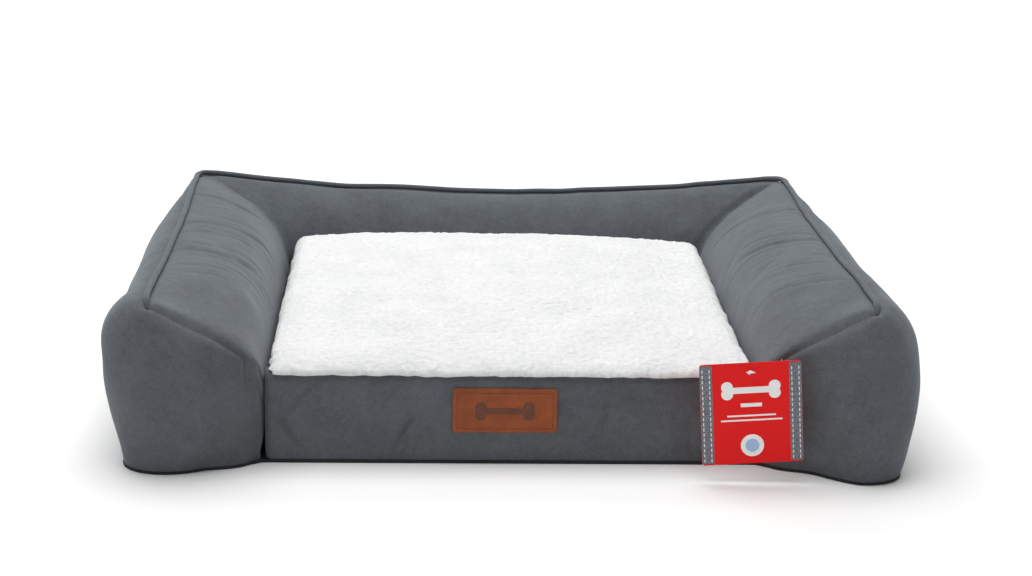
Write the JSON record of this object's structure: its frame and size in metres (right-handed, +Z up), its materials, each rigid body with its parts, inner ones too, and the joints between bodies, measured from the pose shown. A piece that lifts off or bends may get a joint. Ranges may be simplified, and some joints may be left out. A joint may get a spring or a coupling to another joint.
{
  "type": "pet cushion bed",
  "caption": "Rectangular pet bed: stuffed bolster walls on the sides and back, a low front wall, and a loose pile-topped cushion in the well, on a non-slip base.",
  "frame": {"origin": "on the floor, under the middle of the bed's footprint", "axes": "+X to the right seen from the open front, +Y towards the back bolster, +Z up"},
  "size_m": [0.766, 0.615, 0.1769],
  "materials": {
    "suede": "charcoal brushed microsuede, short soft nap",
    "sherpa": "off-white knitted sherpa pile",
    "cushion_cloth": "grey woven polyester",
    "stuffing": "polyester fibre stuffing",
    "base_cloth": "dark non-woven base cloth with rubber dots",
    "patch_leather": "saddle brown, lightly grained, embossed",
    "label_satin": "white woven satin label",
    "tack_plastic": "clear white moulded filament",
    "tag_card": "printed coated card",
    "zip_tape": "woven polyester tape",
    "zip_coil": "nylon coil",
    "zip_metal": "black enamelled zinc"
  },
  "bodies": {
    "bed": {"base_panel": "base_cloth", "left_outer_panel": "suede", "left_top_panel": "suede", "left_bolster_fill": "stuffing", "right_outer_panel": "suede", "right_top_panel": "suede", "right_bolster_fill": "stuffing", "back_outer_panel": "suede", "back_top_panel": "suede", "back_bolster_fill": "stuffing", "ridge_piping": "suede", "front_wall_cover": "suede", "front_wall_fill": "stuffing", "leather_patch": "patch_leather", "care_label": "label_satin", "tag_tack": "tack_plastic", "zip_tape_upper": "zip_tape", "zip_tape_lower": "zip_tape", "zip_coil_upper": "zip_coil", "zip_coil_lower": "zip_coil", "zip_stop_left": "zip_metal", "zip_stop_right": "zip_metal"},
    "cushion": {"cushion_top_cover": "sherpa", "cushion_base_cover": "cushion_cloth", "cushion_fill": "stuffing"},
    "swing_tag": {"hang_tag": "tag_card"},
    "zip_slider_body": {"zip_slider": "zip_metal"},
    "zip_pull_body": {"zip_pull": "zip_metal"}
  },
  "joints": [
    {"name": "cushion_lift", "type": "slide", "parent": "bed", "child": "cushion", "axis": [0, 0, 1], "range_m": [0, 0.3]},
    {"name": "tag_swing", "type": "hinge", "parent": "bed", "child": "swing_tag", "pos_m": [0.221, -0.303, 0.11275], "axis": [-0.9986, 0.0523, 0], "range_deg": [0, 65]},
    {"name": "zip_slide", "type": "slide", "parent": "bed", "child": "zip_slider_body", "axis": [1, 0, 0], "range_m": [0, 0.49]},
    {"name": "zip_pull_swing", "type": "hinge", "parent": "zip_slider_body", "child": "zip_pull_body", "pos_m": [-0.245, 0.30356, 0.03279], "axis": [1, 0, 0], "range_deg": [-15, 160]}
  ]
}
